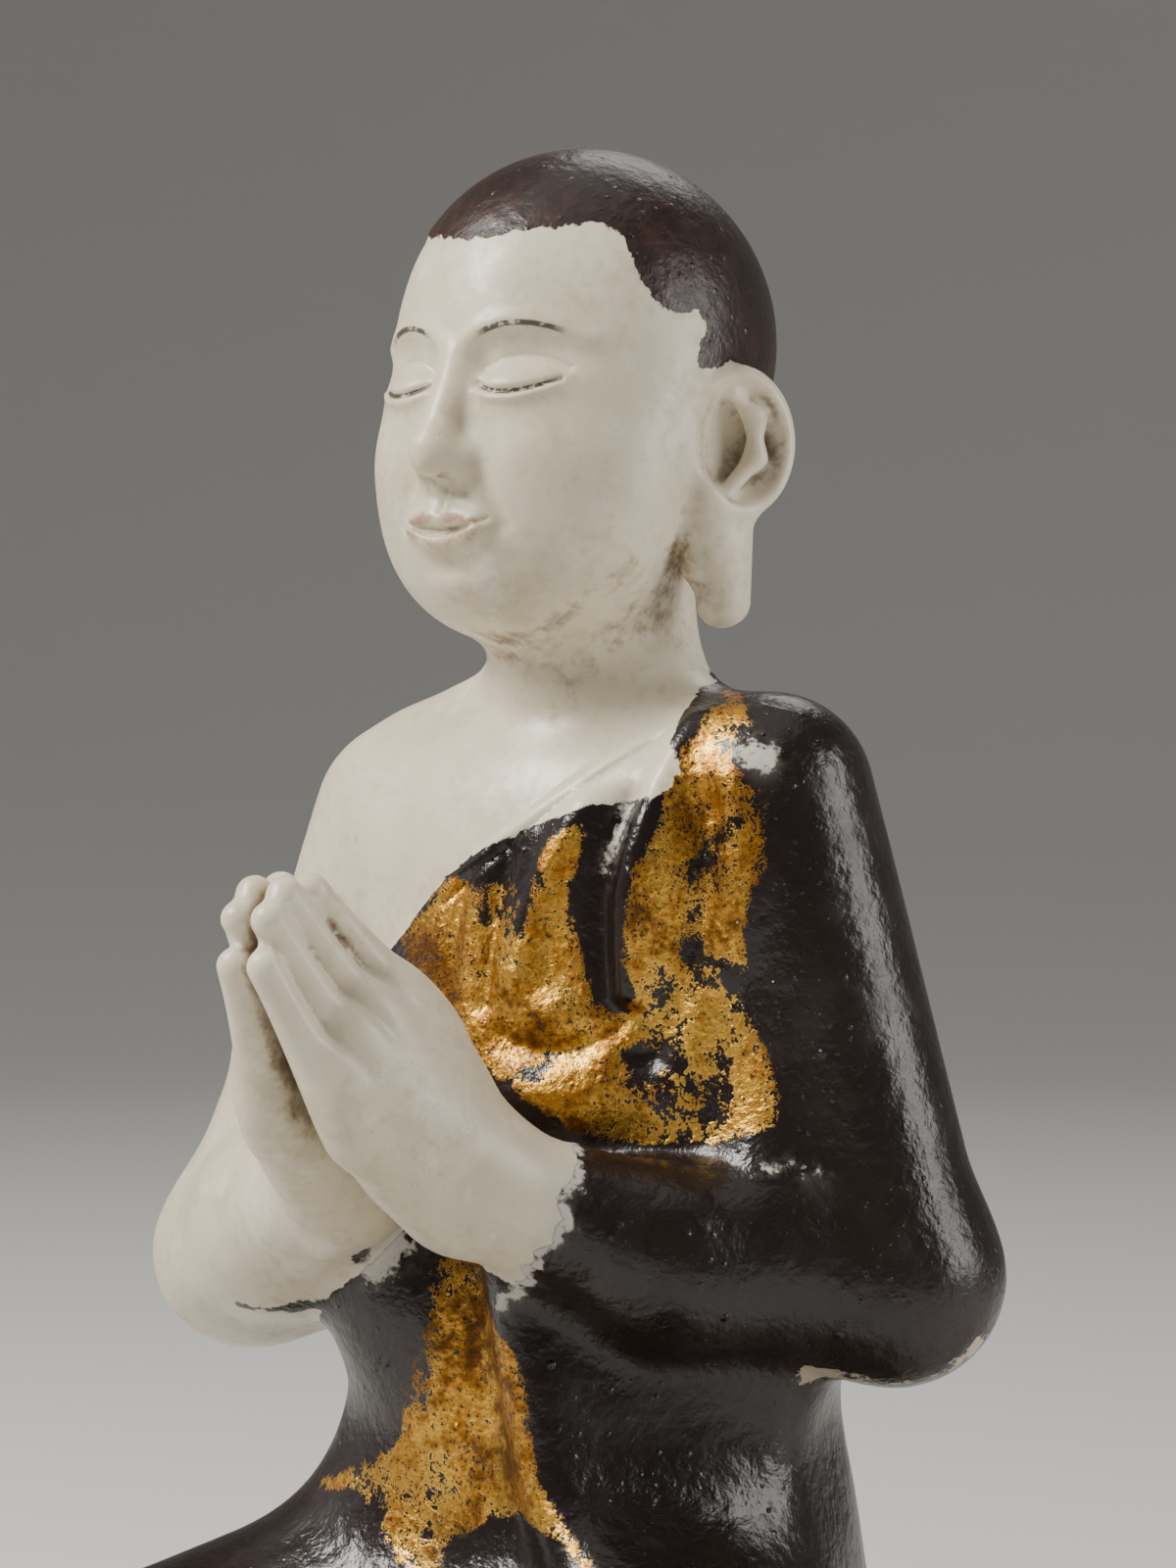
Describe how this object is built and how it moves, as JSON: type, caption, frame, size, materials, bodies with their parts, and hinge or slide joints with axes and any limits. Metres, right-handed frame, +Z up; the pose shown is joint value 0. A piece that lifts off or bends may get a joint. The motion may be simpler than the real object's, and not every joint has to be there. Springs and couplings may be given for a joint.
{
  "type": "monk statue",
  "caption": "Carved marble figure of a monk kneeling in prayer, hands pressed together, robe over the left shoulder, on its own low base.",
  "frame": {"origin": "centre of the base's underside", "axes": "+Z up, the figure faces -Y, its left side is +X"},
  "size_m": [0.276, 0.296, 0.5001],
  "materials": {
    "marble": "polished warm white marble, with worn dark brown lacquer on the robe and hair and worn gold leaf on the chest"
  },
  "bodies": {
    "root": {"kneeling_monk": "marble"}
  },
  "joints": []
}
